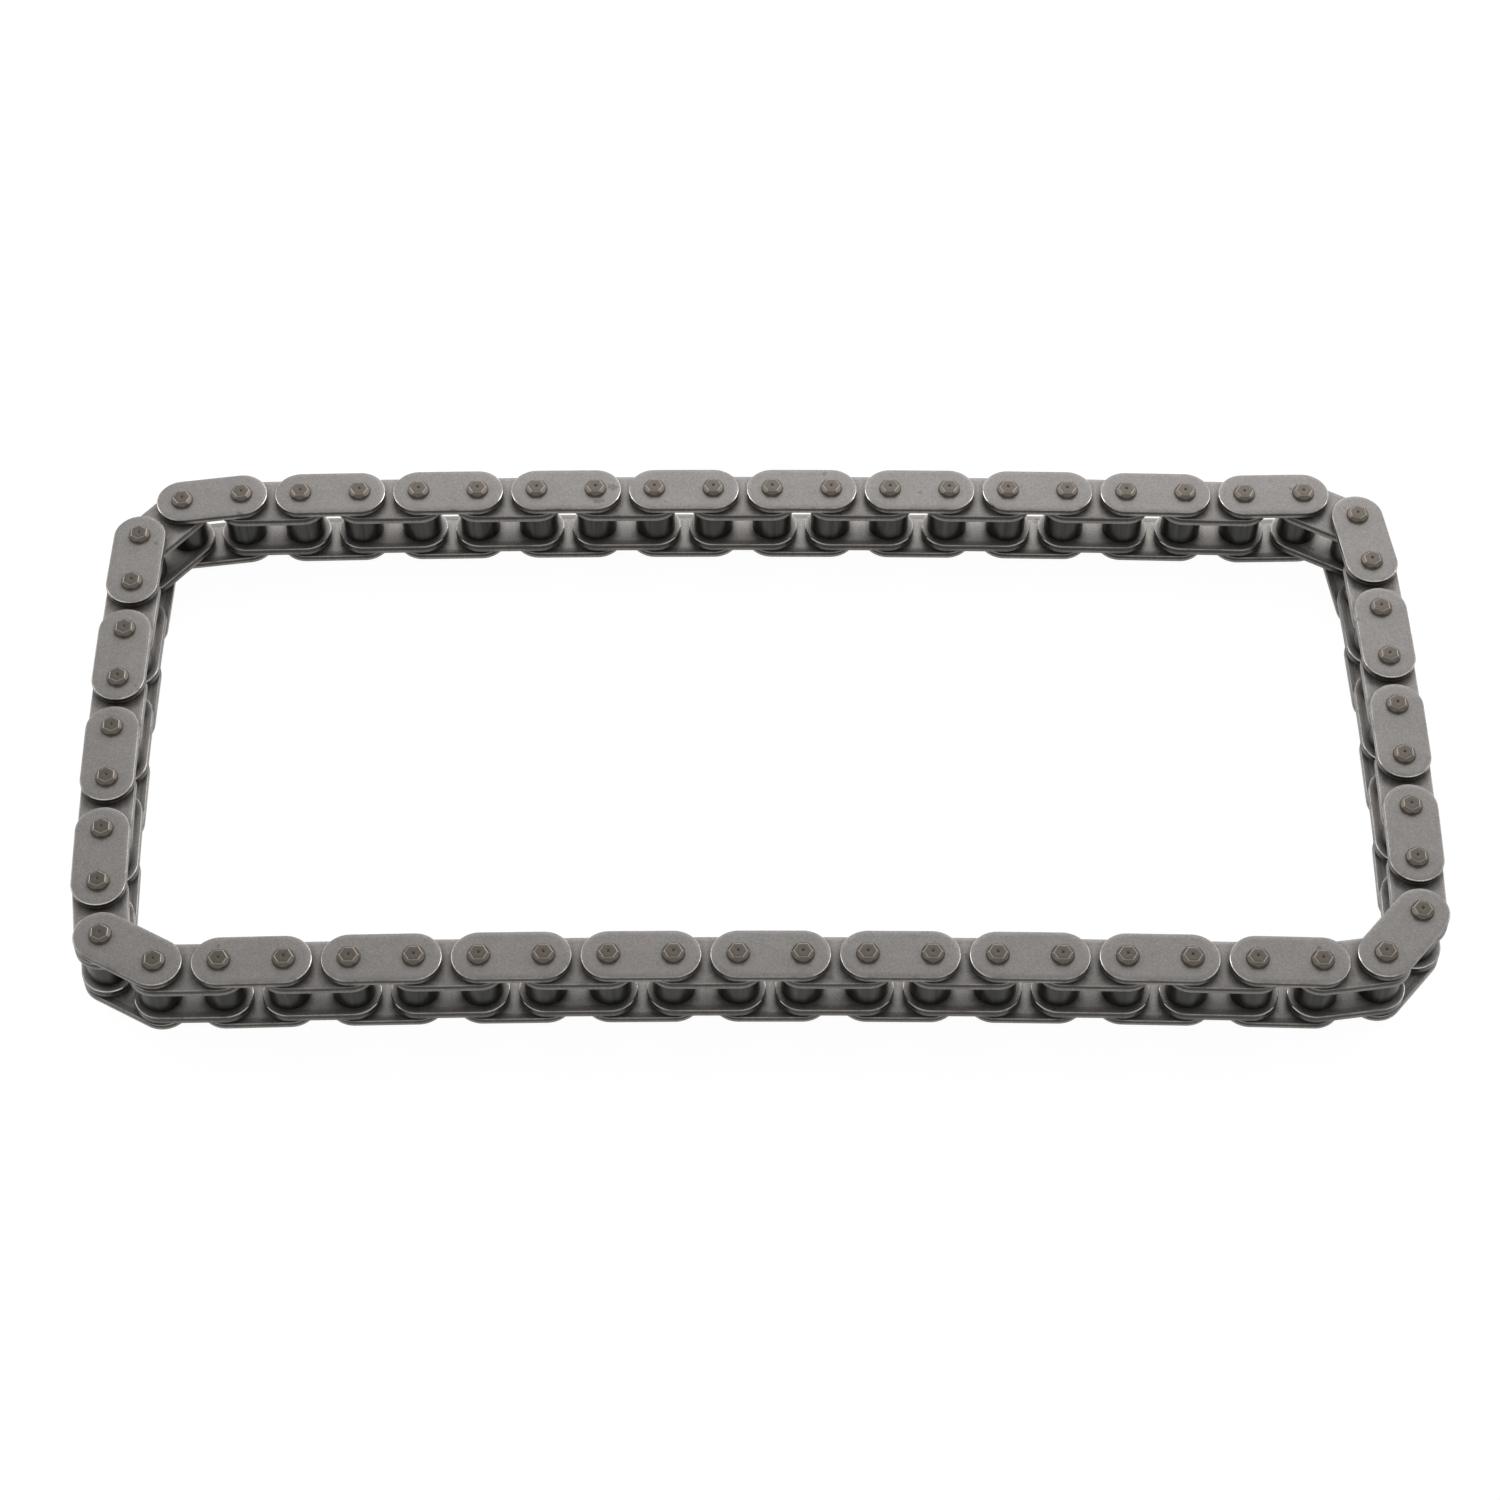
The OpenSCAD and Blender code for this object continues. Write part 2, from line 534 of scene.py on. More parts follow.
    def add_both_halves(self, skin: Skin, flat: np.ndarray, height: np.ndarray, inside: np.ndarray) -> None:
        """Adds a grid about the first hole, and its mirror image about the second.

        Args:
            skin: What the plate is gathered in.
            flat: Points by row, column and axis, in the plane of the plate.
            height: Their heights.
            inside: For each row, 1 where it faces the middle of the chain.
        """
        marks = {Mark.INSIDE: inside}
        skin.add(np.concatenate([flat, height], -1), marks)
        skin.add(np.concatenate([(self.sizes.pitch, 0.0) + flat * (-1.0, 1.0), height], -1), marks)


@dataclass(frozen=True)
class Pin:
    """A riveted pin: a straight shank and, at each end, a collar cut to six sloping flats."""

    sizes: Sizes
    columns: int = 72
    # Rounding of a spread end's edges, and each edge's share of it, from the foot to the centre mark
    edge: float = 0.09 * MM
    edge_shares: tuple[float, ...] = (0.5, 1.0, 1.4, 0.5, 0.25)
    # How far in the collar leans
    lean: float = 0.1 * MM
    # Width of the centre mark's floor, as a share of its brim
    mark_floor: float = 0.25
    steps: int = 4

    def foot(self) -> float:
        """Height at which a spread end starts, a hair's breadth above the plate."""
        return self.sizes.outer_top + self.sizes.press_gap

    def head(self, around: np.ndarray) -> np.ndarray:
        """Draws the outline of a spread end for each way round.

        It climbs the collar, which leans in a little, to where the sloping flat cuts it, follows the flat to
        the top and crosses it to the centre mark. A flat stands back by head_flats / 2 over the cosine of the
        angle from its middle.

        Args:
            around: The cosine and sine of each way's angle.

        Returns:
            Radius and height, by row, way round and coordinate.
        """
        sizes = self.sizes
        angle = np.arctan2(around[:, 1], around[:, 0])
        stand = np.cos(np.mod(angle, np.pi / 3) - np.pi / 6)
        same = np.ones_like(stand)
        collar = (sizes.pin_diameter + sizes.head_spread) / 2
        flat = sizes.head_flats / 2
        top = sizes.outer_top + sizes.head_height
        neck = collar - self.lean
        brim = sizes.mark_diameter / 2
        corners = [
            (sizes.pin_diameter / 2, self.foot()),
            (collar, self.foot()),
            (neck, top + flat - neck * stand),
            (flat / stand, top),
            (brim, top),
            (brim * self.mark_floor, top - sizes.mark_depth),
            (0.0, top - sizes.mark_depth),
        ]
        columns = [np.stack([same * radius, same * height], -1) for radius, height in corners]
        reach = [(share * self.edge, share * self.edge) for share in self.edge_shares]
        return rounded(np.array(columns), reach, self.steps)

    def head_marks(self, count: int) -> dict[Mark, np.ndarray]:
        """Marks the rows of a spread end.

        Args:
            count: Number of rows.

        Returns:
            The side is the collar up to its wall, the rim is the upper edge of the flats, and the lip is what
            lies inside that edge.
        """
        rows = np.arange(count)
        collar_rows = self.steps + 1
        slope_rows = 2 * self.steps + 3
        return {
            Mark.SIDE: (rows <= collar_rows).astype(float),
            Mark.RIM: np.isin(rows, (slope_rows + 1, slope_rows + 2)).astype(float),
            Mark.LIP: (rows > slope_rows + self.steps // 2).astype(float),
        }

    def pair(self) -> Pattern:
        """Builds a link's two pins, each a shank between two spread ends that mirror each other.

        Returns:
            The two pins as one pattern.
        """
        around = circle(self.columns)
        head = self.head(around)
        marks = self.head_marks(len(head))
        shank = self.sizes.pin_diameter / 2
        skin = Skin()
        for centre in (0.0, self.sizes.pitch):
            upper = turned(head, around, centre)
            skin.add(upper, marks)
            skin.add(upper * (1.0, 1.0, -1.0), marks)
            skin.add(turned(np.array([[[shank, self.foot()]], [[shank, -self.foot()]]]), around, centre))
        return skin.pattern()


@dataclass(frozen=True)
class Tube:
    """A round tube on the middle plane, such as a bush or a roller."""

    outside: float
    bore: float
    half_length: float
    # Rounding of the ends' edges, and each edge's share of it
    edge: float
    edge_shares: tuple[float, ...] = (1.0, 1.0, 0.5, 0.5)
    columns: int = 64
    seam_width: float = 0.09 * MM

    def around(self, start: float) -> np.ndarray:
        """Walks round the tube in even steps, with two narrow ones on either side of the first.

        Args:
            start: Angle of the first step, where the tube's seam is.

        Returns:
            The cosine and sine of each step's angle.
        """
        narrow = self.seam_width / self.outside
        even = circle(self.columns, start)[1:-1]
        beside = [[math.cos(start + turn), math.sin(start + turn)] for turn in (narrow, -narrow)]
        seam = [[math.cos(start), math.sin(start)]]
        return np.concatenate([seam, beside[:1], even, beside[1:], seam])

    def add(self, skin: Skin, centres: Sequence[float], starts: Sequence[float]) -> None:
        """Adds the tube, its closed profile turned about each centre.

        Its side is marked from 0 at the lower end to 1 at the upper end.

        Args:
            skin: What the piece is gathered in.
            centres: Places along the link.
            starts: Angle of the seam at each place.
        """
        outer = self.outside / 2
        inner = self.bore / 2
        half = self.half_length
        middle = (inner + outer) / 2
        start_row = (middle, half)
        corners = [start_row, (outer, half), (outer, -half), (inner, -half), (inner, half), start_row]
        reach = [(share * self.edge, share * self.edge) for share in self.edge_shares]
        profile = rounded(np.array(corners)[:, None], reach)
        seam = np.zeros((len(profile), len(self.around(0.0))))
        seam[:, [0, -1]] = 1.0
        marks = {Mark.SIDE: 0.5 + profile[:, 0, 1] / (2 * half), Mark.SEAM: seam}
        for centre, start in zip(centres, starts):
            skin.add(turned(profile, self.around(start), centre), marks)


class Value:
    """A shader socket that takes arithmetic: each operator adds the Math node that works it out."""

    def __init__(self, graph: "Graph", socket: bpy.types.NodeSocket) -> None:
        """Wraps an output socket of one of the graph's nodes."""
        self.graph = graph
        self.socket = socket

    def _math(self, operation: str, *values: "Value | float") -> "Value":
        """Adds a Math node on some values and gives its result."""
        return self.graph.node("ShaderNodeMath", {"operation": operation}, dict(enumerate(values)))

    def __add__(self, other: "Value | float") -> "Value":
        """self + other."""
        return self._math("ADD", self, other)

    __radd__ = __add__

    def __sub__(self, other: "Value | float") -> "Value":
        """self - other."""
        return self._math("SUBTRACT", self, other)

    def __rsub__(self, other: "Value | float") -> "Value":
        """other - self."""
        return self._math("SUBTRACT", other, self)

    def __mul__(self, other: "Value | float") -> "Value":
        """self * other."""
        return self._math("MULTIPLY", self, other)

    __rmul__ = __mul__

    def larger(self, other: "Value") -> "Value":
        """The larger of self and other."""
        return self._math("MAXIMUM", self, other)

    def between(self, low: float, high: float) -> "Value":
        """Smooth step: 0 at low, 1 at high and a soft slope between them."""
        settings = {"interpolation_type": "SMOOTHSTEP"}
        return self.graph.node("ShaderNodeMapRange", settings, {0: self, 1: low, 2: high, 3: 0.0, 4: 1.0})


class Graph:
    """The nodes of a material or of the world."""

    def __init__(self, tree: bpy.types.NodeTree) -> None:
        """Takes hold of the nodes that are there."""
        self.tree = tree

    def own(self, kind: str) -> bpy.types.Node:
        """Finds the one node of a type that the tree starts with."""
        return next(node for node in self.tree.nodes if node.type == kind)

    def node(
        self,
        kind: str,
        settings: dict[str, object] | None = None,
        inputs: dict[int | str, object] | None = None,
        output: int | str = 0,
    ) -> Value:
        """Adds a node.

        Args:
            kind: The node's type.
            settings: What is set on the node before its sockets.
            inputs: A value or a link for each input that isn't left alone.
            output: The output to give back.

        Returns:
            The output as a value for further sums.
        """
        made = self.tree.nodes.new(kind)
        for name, setting in (settings or {}).items():
            setattr(made, name, setting)
        self.feed(made, inputs or {})
        return Value(self, made.outputs[output])

    def feed(self, node: bpy.types.Node, inputs: dict[int | str, object]) -> None:
        """Gives inputs of a node their values.

        Args:
            node: The node.
            inputs: For each input, a value to link to it, or a plain number or colour to set there.
        """
        for name, value in inputs.items():
            socket = node.inputs[name]
            if isinstance(value, Value):
                self.tree.links.new(value.socket, socket)
            elif socket.type == "RGBA":
                socket.default_value = (*value, 1.0)
            else:
                socket.default_value = value


@dataclass(frozen=True)
class Noise:
    """Cloudy noise in object space, from 0 to 1."""

    # Length of one cloud, the finer layers on it and the strength of each
    size: float
    detail: float = 2.0
    rough: float = 0.5
    # How many times taller than wide the clouds are
    upright: float = 1.0


class Dress(Graph):
    """The nodes of one finish."""

    def __init__(self, name: str) -> None:
        """Starts a material of the given name with a plain Principled shader."""
        self.material = bpy.data.materials.new(name)
        self.material.use_nodes = True
        super().__init__(self.material.node_tree)
        self.shader = self.own("BSDF_PRINCIPLED")
        self.place = self.node("ShaderNodeTexCoord", output="Object")

    def noise(self, kind: Noise) -> Value:
        """Adds cloudy noise.

        Args:
            kind: Its measures.

        Returns:
            The noise, from 0 to 1.
        """
        place = self.place
        if kind.upright != 1.0:
            stretch = (1.0, 1.0, 1.0 / kind.upright)
            place = self.node("ShaderNodeVectorMath", {"operation": "MULTIPLY"}, {0: place, 1: stretch})
        inputs = {"Vector": place, "Scale": 1.0 / kind.size, "Detail": kind.detail, "Roughness": kind.rough}
        return self.node("ShaderNodeTexNoise", None, inputs)

    def shaded(self, colour: Value, tone: Value) -> Value:
        """Multiplies a colour by a tone."""
        grey = self.node("ShaderNodeCombineColor", None, {0: tone, 1: tone, 2: tone})
        return self.mix(1.0, colour, grey, "MULTIPLY")

    def mark(self, mark: Mark) -> Value:
        """Reads one of the piece's own vertex attributes."""
        return self.node("ShaderNodeAttribute", {"attribute_name": mark.value}, output="Fac")

    def mix(self, share: Value | float, first: object, second: object, blend: str = "MIX") -> Value:
        """Mixes two colours.

        Args:
            share: How much of the second colour shows.
            first: A colour or a link.
            second: A colour or a link.
            blend: How the second colour is laid over the first.

        Returns:
            The mixed colour.
        """
        settings = {"data_type": "RGBA", "blend_type": blend}
        return self.node("ShaderNodeMix", settings, {0: share, 6: first, 7: second}, output=2)

    def bump(self, height: Value, depth: float) -> Value:
        """Turns a height from 0 to 1 into a normal, for a relief of the given depth."""
        inputs = {"Height": height, "Distance": depth, "Strength": 1.0}
        return self.node("ShaderNodeBump", None, inputs)

    def finish(
        self, colour: Value, rough: Value | float, normal: Value, metal: Value | float, specular: float = 0.5
    ) -> bpy.types.Material:
        """Feeds the shader.

        Args:
            colour: Base colour.
            rough: Roughness.
            normal: Normal.
            metal: Metallic.
            specular: Specular level of what isn't metallic.

        Returns:
            The material.
        """
        inputs = {"Base Color": colour, "Roughness": rough, "Normal": normal, "Metallic": metal}
        self.feed(self.shader, inputs | {"Specular IOR Level": specular})
        return self.material


@dataclass(frozen=True)
class PlateSteel:
    """Tumbled steel plate: matt grey faces with fine grain, rims with a painted highlight, punched sides of
    darker steel with painted shade on them and painted light from the table at their foot, and inside faces
    painted paler against the shade between the plates.
    """

    name: str
    face: Colour
    # Colour of the inside faces: painted paler, painted light against the shade between the plates
    inside: Colour
    # Colour of the punched sides: darker steel, darkened further with painted shade
    side: Colour
    # Colour of the sides below the tear: painted light, as if lit from the table below
    lip: Colour
    # Painted highlight on the rims
    rim: Colour = linear(196, 192, 186)
    grain: Noise = Noise(0.3 * MM, 3.0, 0.75)
    cloud: Noise = Noise(3.0 * MM, 3.0)
    streak: Noise = Noise(0.35 * MM, 3.0, 0.6, upright=25.0)
    roughness: float = 0.42
    specular: float = 0.25
    # How much smoother the rims and the sheared sides are
    burnish: float = 0.2
    # Metallic of the faces, and what the rims and the torn sides add to it
    metallic: float = 0.22
    rim_metal: float = 0.7
    lip_metal: float = 0.4
    # The tone, and what grain, clouds and the sides' streaks add to it
    base_tone: float = 0.3
    grain_tone: float = 1.15
    cloud_tone: float = 0.24
    streak_tone: float = 0.9
    # How much the painted contact shade and the specks of dirt take away from it
    contact_shade_strength: float = 0.45
    speck: float = 0.35
    # Levels of the clouds between which the rims' painted highlight and the specks set in
    highlight_levels: Span = (0.2, 0.55)
    speck_levels: Span = (0.7, 0.74)
    relief: float = 0.006 * MM

    @cached_property
    def material(self) -> bpy.types.Material:
        """Builds the material: face, side, lip and rim, with grain on the face and streaks down the side.

        Painted contact shade darkens the plate where neighbouring pieces cover it, and a few small specks of
        dirt lie about.

        Returns:
            The material.
        """
        dress = Dress(self.name)
        grain = dress.noise(self.grain)
        cloud = dress.noise(self.cloud)
        streak = dress.noise(self.streak)
        side = dress.mark(Mark.SIDE)
        rim = dress.mark(Mark.RIM)
        lip = dress.mark(Mark.LIP)
        # Inside faces painted paler: painted light against the shade between the plates
        colour = dress.mix(dress.mark(Mark.INSIDE), self.face, self.inside)
        # The sides: darker steel with painted shade
        colour = dress.mix(side, colour, self.side)
        # Painted light from the table on the sides below the tear
        colour = dress.mix(lip, colour, self.lip)
        # Painted highlight on the rims, in patches of the clouds
        colour = dress.mix(rim * cloud.between(*self.highlight_levels), colour, self.rim)
        tone = self.base_tone + self.grain_tone * grain + self.cloud_tone * cloud
        tone = tone + side * (streak - 0.5) * self.streak_tone
        # Painted contact shade where neighbouring pieces cover the plate
        tone = tone * (1.0 - self.contact_shade_strength * dress.mark(Mark.COVER))
        tone = tone * (1.0 - self.speck * cloud.between(*self.speck_levels))
        rough = self.roughness - self.burnish * rim - self.burnish * (side - lip)
        metallic = self.metallic + self.rim_metal * rim + self.lip_metal * lip
        normal = dress.bump(grain, self.relief)
        return dress.finish(dress.shaded(colour, tone), rough, normal, metallic, self.specular)


@dataclass(frozen=True)
class PinSteel:
    """Polished pin steel, with a brownish darker face on the riveted end, a painted highlight along the
    flats' upper edge, and a collar painted paler against the shade at its foot.
    """

    name: str = "pin_steel"
    top: Colour = linear(72, 67, 62)
    slope: Colour = linear(95, 89, 83)
    # Painted highlight along the flats' upper edge
    edge: Colour = linear(154, 145, 135)
    # The collar is painted paler: painted light against the shade at the pin's foot
    collar: Colour = linear(144, 136, 126)
    grain: Noise = Noise(0.2 * MM)
    cloud: Noise = Noise(0.9 * MM)
    # How far the edge takes on its painted highlight
    edge_highlight: float = 0.6
    roughness: float = 0.4
    metallic: float = 0.9
    # The tone, and what grain and clouds each add to it
    base_tone: float = 0.8
    added_tone: float = 0.2
    relief: float = 0.005 * MM

    @cached_property
    def material(self) -> bpy.types.Material:
        """Builds the material: a collar painted paler, slopes with a painted highlight along their upper
        edge, and a dark end face.

        Returns:
            The material.
        """
        dress = Dress(self.name)
        grain = dress.noise(self.grain)
        cloud = dress.noise(self.cloud)
        # Collar painted paler against the shade at its foot
        colour = dress.mix(dress.mark(Mark.SIDE), self.slope, self.collar)
        colour = dress.mix(dress.mark(Mark.LIP), colour, self.top)
        # Painted highlight along the flats' upper edge
        colour = dress.mix(dress.mark(Mark.RIM) * self.edge_highlight, colour, self.edge)
        tone = self.base_tone + self.added_tone * grain + self.added_tone * cloud
        normal = dress.bump(grain, self.relief)
        return dress.finish(dress.shaded(colour, tone), self.roughness, normal, self.metallic)


@dataclass(frozen=True)
class DarkSteel:
    """Hardened dark steel of bushes and rollers, glossy under oil, with upright streaks in its tone that also
    serve as painted reflection.
    """

    name: str = "dark_steel"
    body: Colour = linear(58, 57, 56)
    end: Colour = linear(80, 78, 76)
    seam: Colour = linear(28, 27, 26)
    grain: Noise = Noise(0.25 * MM)
    # Upright streaks in the tone, which also serve as painted reflection
    streak: Noise = Noise(0.9 * MM, 4.0, 0.6, upright=30.0)
    # How far the seam takes on its colour
    seam_share: float = 0.8
    # Shares of the length above the middle between which it turns paler
    end_levels: Span = (0.4, 0.5)
    roughness: float = 0.35
    metallic: float = 0.92
    # What grain and streaks add to the tone, and what is taken away from it
    grain_tone: float = 0.2
    streak_tone: float = 2.4
    shade: float = 0.25
    relief: float = 0.008 * MM

    @cached_property
    def material(self) -> bpy.types.Material:
        """Builds the material: upright streaks that also serve as painted reflection and a seam down the
        side, and a slightly paler upper end.

        Returns:
            The material.
        """
        dress = Dress(self.name)
        grain = dress.noise(self.grain)
        streak = dress.noise(self.streak)
        side = dress.mark(Mark.SIDE)
        colour = dress.mix((side - 0.5).between(*self.end_levels), self.body, self.end)
        colour = dress.mix(dress.mark(Mark.SEAM) * self.seam_share, colour, self.seam)
        # Streaks, partly painted reflection
        tone = self.grain_tone * grain + self.streak_tone * streak - self.shade
        normal = dress.bump(streak, self.relief)
        return dress.finish(dress.shaded(colour, tone), self.roughness, normal, self.metallic)


def keep(piece: bpy.types.Object, node: str) -> None:
    """Lets a piece stand for a node and ride on its body.

    Args:
        piece: The new piece.
        node: The node, whose body has the same name.
    """
    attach(piece, node)
    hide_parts(node)
    LOG.info("%s: %d faces on %s", piece.name, len(piece.data.polygons), node)


@dataclass(frozen=True)
class OuterLink:
    """Two outer plates held together by two riveted pins."""

    sizes: Sizes
    # Nothing lies on the outside faces, so their painted contact shade ends within the holes and doesn't show
    contact_shade_radii: tuple[Span, Span] = ((0.0, 0.1 * MM), (4.13 * MM, 4.4 * MM))
    slot: str = "outer_link_steel"
    plate_steel: PlateSteel = PlateSteel(
        "outer_plate_steel",
        face=linear(124, 120, 117),
        # Inside: painted light against the shade between the plates
        inside=linear(152, 148, 144),
        # Sides: darker steel with painted shade
        side=linear(74, 71, 68),
        # Lip: painted light from the table below
        lip=linear(138, 133, 128),
    )
    pin_steel: PinSteel = PinSteel()

    @cached_property
    def plates(self) -> Pattern:
        """The two plates as one pattern, with holes that hold the pins."""
        hole = self.sizes.pin_diameter + 2 * self.sizes.press_gap
        return Plate(self.sizes, self.sizes.outer_face, self.sizes.outer_thickness, hole, self.contact_shade_radii).pair()

    @cached_property
    def pins(self) -> Pattern:
        """The two pins as one pattern."""
        return Pin(self.sizes).pair()

    def place(self, seat: Seat) -> None:
        """Makes the plates and pins at a link's place, to stand for its solids.

        Args:
            seat: Where the link lies.
        """
        number = seat.name.rpartition("_")[2]
        plates = self.plates.laid(f"outer_plates_{number}", seat, self.plate_steel.material)
        pins = self.pins.laid(f"riveted_pins_{number}", seat, self.pin_steel.material)
        for piece in (plates, pins):
            keep(piece, seat.name)


@dataclass(frozen=True)
class InnerLink:
    """Two inner plates held together by two bushes, with a roller turning on each."""

    sizes: Sizes
    # Painted contact shade where outer plates cover the outside faces, and next to the rollers on the inside
    # ones
    contact_shade_radii: tuple[Span, Span] = ((4.15 * MM, 5.1 * MM), (3.3 * MM, 4.0 * MM))
    slot: str = "inner_link_steel"
    plate_steel: PlateSteel = PlateSteel(
        "inner_plate_steel",
        face=linear(135, 131, 128),
        # Inside: painted light against the shade between the plates
        inside=linear(152, 148, 145),
        # Sides: darker steel with painted shade
        side=linear(70, 68, 66),
        # Lip: painted light from the table below
        lip=linear(126, 122, 118),
    )
    dark_steel: DarkSteel = DarkSteel()

    @cached_property
    def plates(self) -> Pattern:
        """The two plates as one pattern, with holes that hold the bushes."""
        hole = self.sizes.bush_diameter + 2 * self.sizes.press_gap
        return Plate(self.sizes, self.sizes.inner_face, self.sizes.inner_thickness, hole, self.contact_shade_radii).pair()

    @property
    def bush(self) -> Tube:
        """A bush, in which a pin turns."""
        bore = self.sizes.pin_diameter + 2 * self.sizes.pin_play
        return Tube(self.sizes.bush_diameter, bore, self.sizes.bush_top, self.sizes.bush_edge)

    @property
    def roller(self) -> Tube:
        """A roller, which turns on a bush between the plates."""
        bore = self.sizes.bush_diameter + 2 * self.sizes.roller_play
        half = self.sizes.inner_face - self.sizes.roller_end_play
        return Tube(self.sizes.roller_diameter, bore, half, self.sizes.roller_edge)

    def place(self, seat: Seat, free: bool) -> None:
        """Makes the plates, bushes and rollers at a link's place, to stand for its solids.

        Args:
            seat: Where the link lies.
            free: Whether the link's rollers are bodies of their own, and so are made elsewhere.
        """
        number = seat.name.rpartition("_")[2]
        ends = (0.0, self.sizes.pitch)
        seams = np.random.default_rng(int(number)).uniform(0.0, 2.0 * np.pi, 2)
        skin = Skin()
        self.bush.add(skin, ends, seams[::-1])
        name = f"bushes_{number}"
        if not free:
            self.roller.add(skin, ends, seams)
            name = f"bushes_and_rollers_{number}"
        plates = self.plates.laid(f"inner_plates_{number}", seat, self.plate_steel.material)
        tubes = skin.pattern().laid(name, seat, self.dark_steel.material)
        for piece in (plates, tubes):
            keep(piece, seat.name)


@dataclass(frozen=True)
class Chain:
    """The whole chain: 29 outer and 29 inner links, and the two rollers that are bodies of their own."""

    sizes: Sizes = Sizes()
    roller_slot: str = "roller_steel"
    roller_prefix: str = "roller_"
    # Angles at which those two rollers have their seams
    roller_seams: Span = (1.0, 4.5)

    def build(self) -> None:
        """Builds every link, and the rollers that turn as bodies of their own."""
        outer = OuterLink(self.sizes)
        inner = InnerLink(self.sizes)
        free = sorted(n for n in frame["nodes"] if n.startswith(self.roller_prefix))
        open_link = Loop.inner_prefix + free[0].split("_")[1]
        for seat in Loop().seats():
            if seat.name.startswith(Loop.outer_prefix):
                outer.place(seat)
                continue
            inner.place(seat, seat.name == open_link)
            if seat.name == open_link:
                self.build_free_rollers(free, seat, inner)

    def build_free_rollers(self, names: Sequence[str], seat: Seat, link: InnerLink) -> None:
        """Builds the rollers that are bodies of their own.

        Args:
            names: Their nodes, in order along the link.
            seat: Where their link lies.
            link: What their link is made of.
        """
        for name, centre, seam in zip(names, (0.0, self.sizes.pitch), self.roller_seams):
            skin = Skin()
            link.roller.add(skin, (centre,), (seam,))
            roller = skin.pattern().laid(f"loose_{name}", seat, link.dark_steel.material)
            keep(roller, name)


@dataclass(frozen=True)
class Viewpoint:
    """The camera, where the photographer stood: in front of the loop, looking down on it."""

    elevation: float = math.radians(54.0)
    distance: float = 0.538
    aim: tuple[float, float, float] = (-0.00094, -0.00767, 0.0143)
    # Width of the sensor and focal length, in millimetres
    sensor: float = 36.0
    lens: float = 84.6
    clip: Span = (0.01, 20.0)

    def place(self) -> None:
        """Puts the camera back from the aim along its line of sight and makes it the scene's own."""
        data = bpy.data.cameras.new("camera")
        data.sensor_width = self.sensor
        data.lens = self.lens
        data.clip_start, data.clip_end = self.clip
        back = Vector((0.0, -math.cos(self.elevation), math.sin(self.elevation)))
        camera = bpy.data.objects.new("camera", data)
        camera.location = Vector(self.aim) + back * self.distance
        camera.rotation_mode = "QUATERNION"
        camera.rotation_quaternion = (-back).to_track_quat("-Z", "Y")
        bpy.context.scene.collection.objects.link(camera)
        bpy.context.scene.camera = camera


@dataclass(frozen=True)
class Lamp:
    """A square soft box."""

    name: str
    place: tuple[float, float, float]
    width: float
    power: float

    def hang(self) -> None:
        """Hangs the soft box, turned to face the chain."""
        data = bpy.data.lights.new(self.name, "AREA")
        data.shape = "SQUARE"
        data.size = self.width
        data.energy = self.power
        lamp = bpy.data.objects.new(self.name, data)
        lamp.location = self.place
        lamp.rotation_mode = "QUATERNION"
        lamp.rotation_quaternion = (-Vector(self.place)).to_track_quat("-Z", "Y")
        bpy.context.scene.collection.objects.link(lamp)


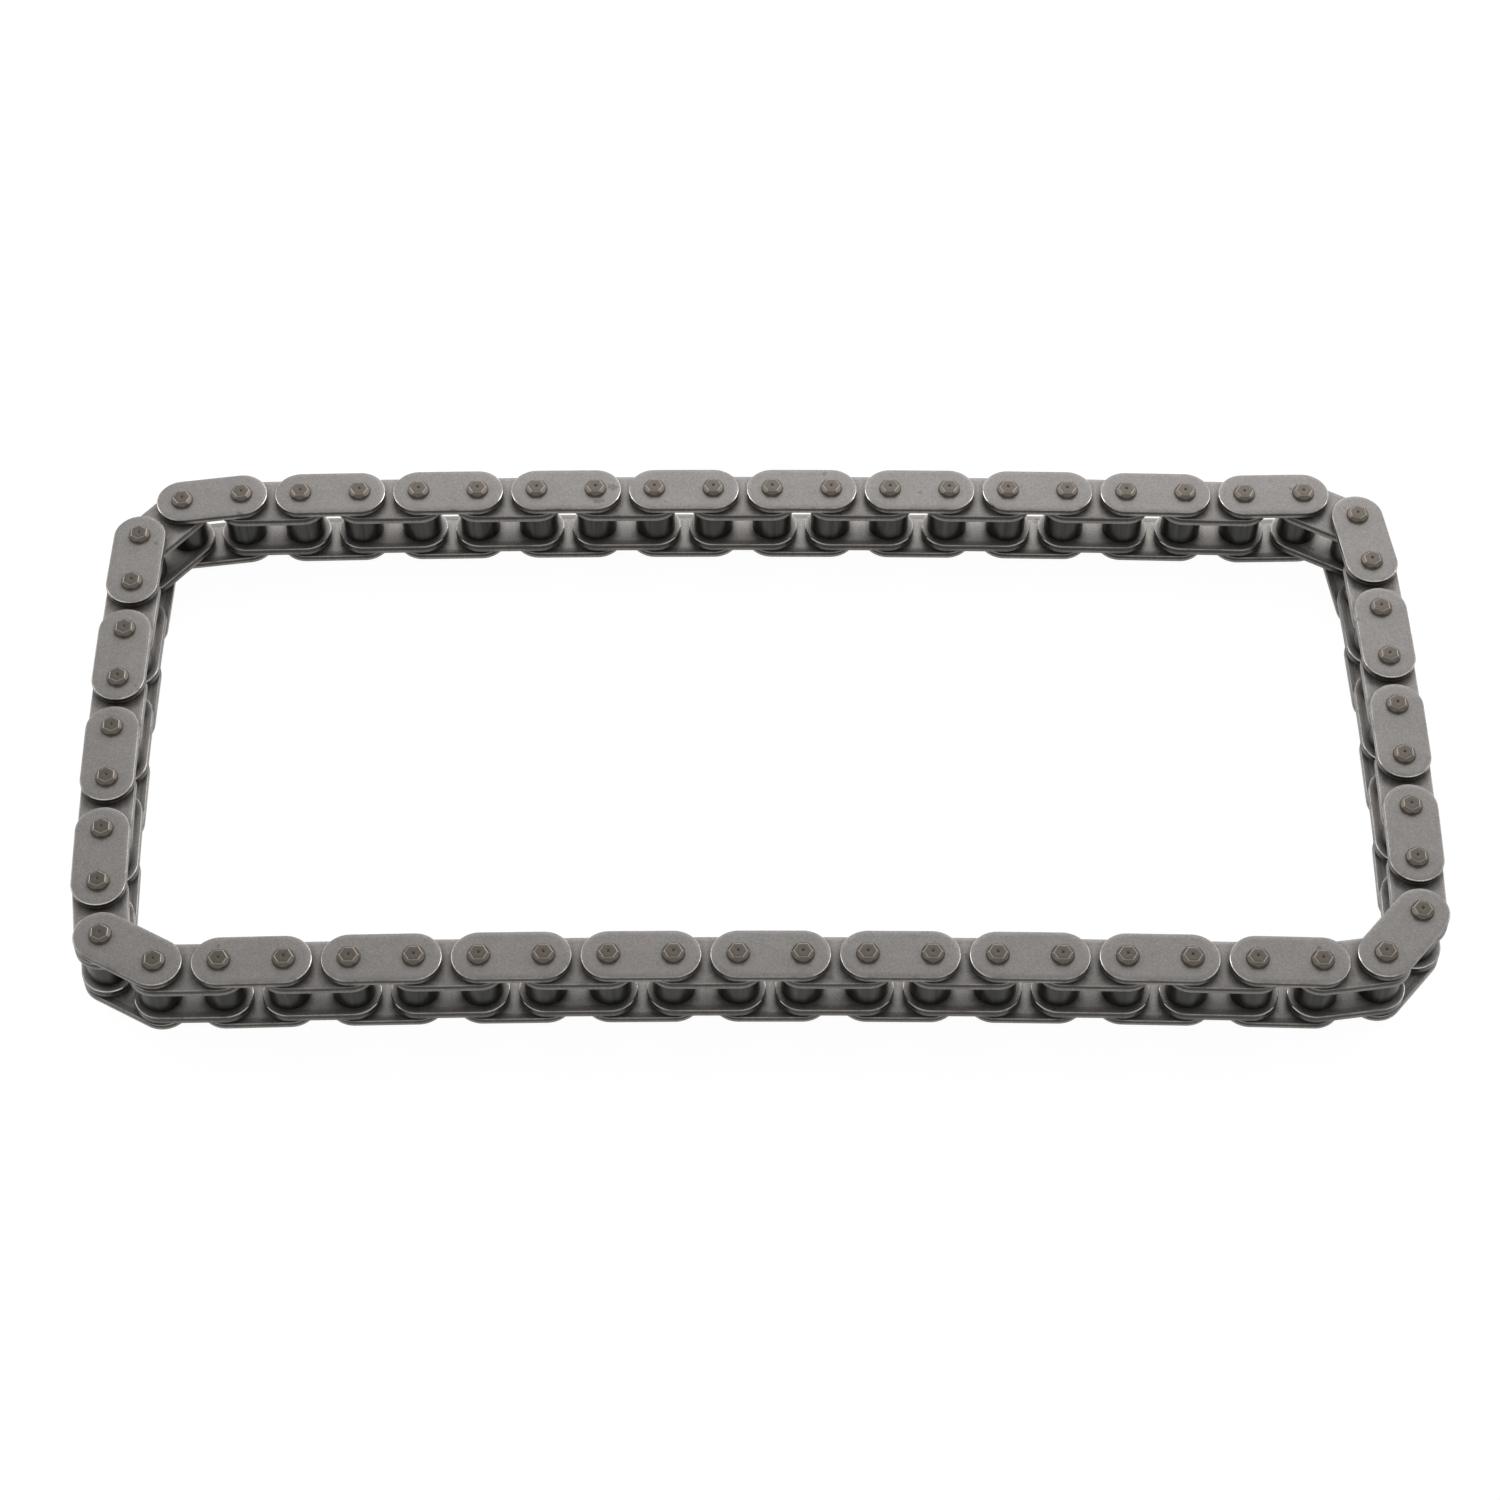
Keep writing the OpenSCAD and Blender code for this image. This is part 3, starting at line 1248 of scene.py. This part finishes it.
@dataclass(frozen=True)
class Studio:
    """A white table in a white room, lit softly from behind and from both sides."""

    lamps: tuple[Lamp, ...] = (
        Lamp("back_box", (0.06, 0.48, 0.34), 0.5, 2.4),
        Lamp("left_box", (-0.6, 0.3, 0.34), 0.5, 2.0),
        Lamp("right_box", (0.6, 0.3, 0.34), 0.5, 2.1),
    )
    room_light: float = 0.25
    table_colour: float = 0.88
    # The glow's share of the table's look where it is seen, and its strength
    table_share: float = 0.9
    table_glow: float = 1.075
    table_size: float = 6.0
    # Gap under the chain, so that the two don't coincide
    table_drop: float = 0.02 * MM

    def seen(self, graph: Graph) -> Value:
        """Adds nodes that tell what is seen from what only lights.

        Args:
            graph: The nodes of the world or of the table.

        Returns:
            1 for rays from the camera, from a glossy surface or through glass, and else 0.
        """
        seen = graph.node("ShaderNodeLightPath", output="Is Camera Ray")
        outputs = seen.socket.node.outputs
        for name in ("Is Glossy Ray", "Is Transmission Ray"):
            seen = seen.larger(Value(graph, outputs[name]))
        return seen

    def build_room(self) -> None:
        """Builds the world: white where it is seen, and soft light elsewhere."""
        world = bpy.data.worlds.new("room")
        bpy.context.scene.world = world
        world.use_nodes = True
        graph = Graph(world.node_tree)
        inputs = {"Value": self.seen(graph), "To Min": self.room_light, "To Max": 1.0}
        strength = graph.node("ShaderNodeMapRange", None, inputs)
        graph.feed(graph.own("BACKGROUND"), {"Color": (1.0, 1.0, 1.0), "Strength": strength})

    def table_top(self) -> bpy.types.Material:
        """Dresses the table top: pale, and mostly aglow where it is seen, so that shadows stay faint.

        Returns:
            Its finish.
        """
        material = bpy.data.materials.new("white_table")
        material.use_nodes = True
        graph = Graph(material.node_tree)
        shader = graph.own("BSDF_PRINCIPLED")
        pale = (self.table_colour,) * 3
        graph.feed(shader, {"Base Color": pale, "Roughness": 1.0, "Specular IOR Level": 0.0})
        glow = graph.node("ShaderNodeEmission", None, {"Strength": self.table_glow})
        share = self.seen(graph) * self.table_share
        shaders = {0: share, 1: Value(graph, shader.outputs[0]), 2: glow}
        mixed = graph.node("ShaderNodeMixShader", None, shaders)
        graph.feed(graph.own("OUTPUT_MATERIAL"), {"Surface": mixed})
        return material

    def build_table(self) -> None:
        """Builds the table: one square just under the chain."""
        half = self.table_size / 2
        level = -self.table_drop
        corners = [(-half, -half, level), (half, -half, level), (half, half, level), (-half, half, level)]
        mesh = bpy.data.meshes.new("table_top")
        mesh.from_pydata(corners, [], [(0, 1, 2, 3)])
        mesh.materials.append(self.table_top())
        table = bpy.data.objects.new("table_top", mesh)
        bpy.context.scene.collection.objects.link(table)

    def build(self) -> None:
        """Builds the room and the table, and hangs the lamps."""
        bpy.context.scene.view_settings.view_transform = "Standard"
        self.build_room()
        self.build_table()
        for lamp in self.lamps:
            lamp.hang()


def main() -> None:
    """Builds the camera, the chain and the studio."""
    logging.basicConfig(level=logging.INFO, format="%(name)s: %(message)s")
    Viewpoint().place()
    Chain().build()
    Studio().build()


if __name__ == "__main__":
    main()
